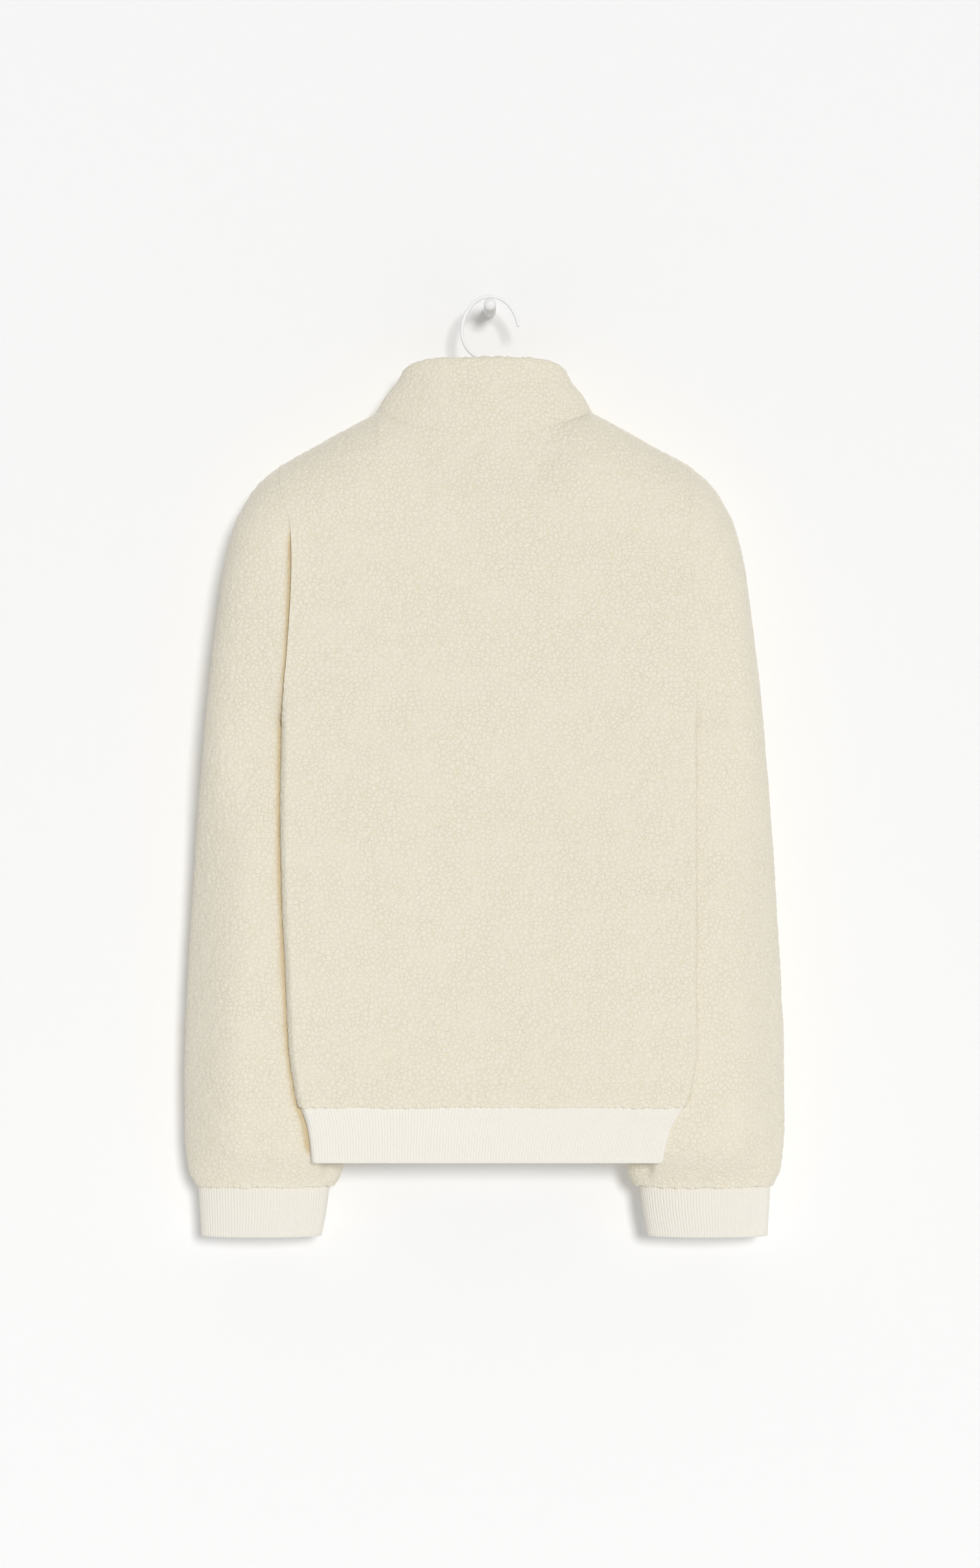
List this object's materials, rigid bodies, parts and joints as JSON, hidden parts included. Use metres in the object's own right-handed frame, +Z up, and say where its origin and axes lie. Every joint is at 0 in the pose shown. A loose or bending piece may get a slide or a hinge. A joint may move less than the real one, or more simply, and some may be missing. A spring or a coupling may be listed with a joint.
{
  "type": "sherpa jacket on a hanger",
  "caption": "Cream sherpa jacket with a stand-up collar, rib-knit hem and cuffs and a front zip, on a white hanger hung from a wall peg.",
  "frame": {"origin": "centre of the wall peg's flat rear face, where it meets the wall", "axes": "+Z up, +Y from the jacket into the wall, so the wall is the plane Y = 0 and the picture looks along +Y; +X to the picture's right, which is the wearer's right side"},
  "size_m": [0.5336, 0.1134, 0.8372],
  "materials": {
    "sherpa": "curly cream pile",
    "rib_knit": "off-white rib knit",
    "zip_tape": "woven tape",
    "zip_teeth": "satin",
    "zip_metal": "satin",
    "hanger_white": "satin",
    "hook_white": "satin",
    "peg_white": "satin"
  },
  "bodies": {
    "jacket": {"back": "sherpa", "front_left": "sherpa", "front_right": "sherpa", "sleeve_left": "sherpa", "sleeve_right": "sherpa", "collar": "sherpa", "hem_rib": "rib_knit", "cuff_left": "rib_knit", "cuff_right": "rib_knit", "zip_tape_left": "zip_tape", "zip_tape_right": "zip_tape", "zip_chain": "zip_teeth", "zip_slider": "zip_metal", "hanger": "hanger_white", "hook": "hook_white", "peg": "peg_white"},
    "pull": {"zip_pull": "zip_metal"}
  },
  "joints": [
    {"name": "pull_swing", "type": "hinge", "parent": "jacket", "child": "pull", "pos_m": [-0.005, -0.0283, -0.074], "axis": [1, 0, 0], "range_deg": [0, 150]}
  ]
}
